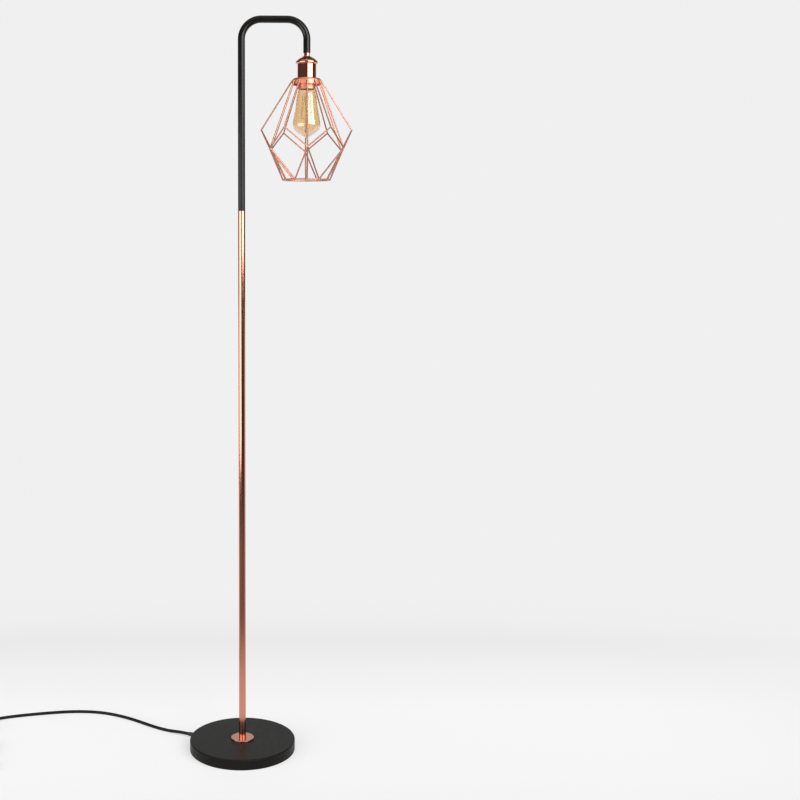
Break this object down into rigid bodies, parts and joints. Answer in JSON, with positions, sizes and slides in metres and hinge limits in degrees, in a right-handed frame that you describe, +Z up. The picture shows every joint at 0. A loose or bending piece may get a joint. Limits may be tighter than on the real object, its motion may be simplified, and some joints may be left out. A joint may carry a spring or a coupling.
{
  "type": "wire cage floor lamp",
  "caption": "Floor lamp with a round weighted base, a slim pole, a bent arm and a hanging faceted wire cage round a bulb, with its cord, foot switch and plug.",
  "frame": {"origin": "on the pole's axis, at the underside of the base, where the lamp stands on the floor", "axes": "+Z up along the pole, +X along the arm towards the wire cage, +Y away from the viewer who has the arm on the right"},
  "size_m": [0.8688, 0.3203, 1.5755],
  "materials": {
    "base_black": "matte",
    "arm_black": "satin",
    "copper_satin": "satin",
    "copper_mirror": "polished",
    "copper_wire": "polished",
    "copper_brushed": "satin",
    "cast_iron": "rough",
    "foam_pad": "matte",
    "zinc_steel": "plated",
    "ceramic": "glazed",
    "brass_plain": "plain",
    "bulb_amber": "clear",
    "bulb_clear": "clear",
    "bulb_cap_metal": "polished",
    "bulb_insulator": "gloss",
    "bulb_contact": "dull",
    "support_wire": "dull",
    "filament": "matte",
    "cord_black": "satin",
    "flex_inner": "matte",
    "core_insulation": "matte",
    "relief_black": "matte",
    "switch_black": "satin",
    "button_black": "satin",
    "switch_block": "matte",
    "spring_steel": "plain",
    "tie_black": "matte",
    "plug_black": "satin",
    "pin_metal": "nickel plated"
  },
  "bodies": {
    "lamp": {"base_cover": "base_black", "base_weight": "cast_iron", "base_pad": "foam_pad", "foot_nipple": "zinc_steel", "foot_washer": "zinc_steel", "foot_nut": "zinc_steel", "pole_flange": "copper_brushed", "pole_lower": "copper_satin", "pole_middle": "copper_satin", "pole_upper": "copper_satin", "insert_lower": "zinc_steel", "insert_middle": "zinc_steel", "insert_upper": "zinc_steel", "insert_arm": "zinc_steel", "insert_arm_drop": "zinc_steel", "stud_lower": "zinc_steel", "stud_middle": "zinc_steel", "stud_upper": "zinc_steel", "arm_tube": "arm_black", "neck_collar": "copper_mirror", "holder_nipple": "zinc_steel", "holder_nut": "zinc_steel", "holder_cap": "copper_mirror", "holder_sleeve": "copper_mirror", "holder_skirt": "copper_mirror", "holder_ceramic": "ceramic", "screw_shell": "brass_plain", "centre_contact": "brass_plain", "holder_terminals": "brass_plain", "shade_ring": "copper_mirror", "cage_collar": "copper_mirror", "cage_outer_spokes": "copper_wire", "cage_inner_spokes": "copper_wire", "cage_waist_wires": "copper_wire", "cage_slanting_legs": "copper_wire", "cage_upright_legs": "copper_wire", "cage_bottom_ring": "copper_wire", "inner_lead": "flex_inner", "lead_cores": "core_insulation", "cord_relief": "relief_black", "lead_run": "cord_black", "lead_middle": "cord_black", "lead_coil": "cord_black", "lead_tail": "cord_black", "coil_tie": "tie_black", "switch_base": "switch_black", "switch_cover": "switch_black", "switch_reliefs": "relief_black", "switch_block": "switch_block", "button_spring": "spring_steel", "plug_body": "plug_black", "plug_pins": "pin_metal"},
    "bulb": {"bulb_glass": "bulb_amber", "bulb_cap": "bulb_cap_metal", "bulb_insulator": "bulb_insulator", "bulb_contact": "bulb_contact", "bulb_stem": "bulb_clear", "bulb_supports": "support_wire", "bulb_filament": "filament"},
    "button": {"switch_button": "button_black"}
  },
  "joints": [
    {"name": "bulb_release", "type": "slide", "parent": "lamp", "child": "bulb", "axis": [0, 0, -1], "range_m": [0, 0.03]},
    {"name": "switch_press", "type": "slide", "parent": "lamp", "child": "button", "axis": [0, 0, -1], "range_m": [0, 0.0025], "stiffness_N_per_m": 600, "springref_m": -0.003, "deforming": ["button_spring"]}
  ]
}
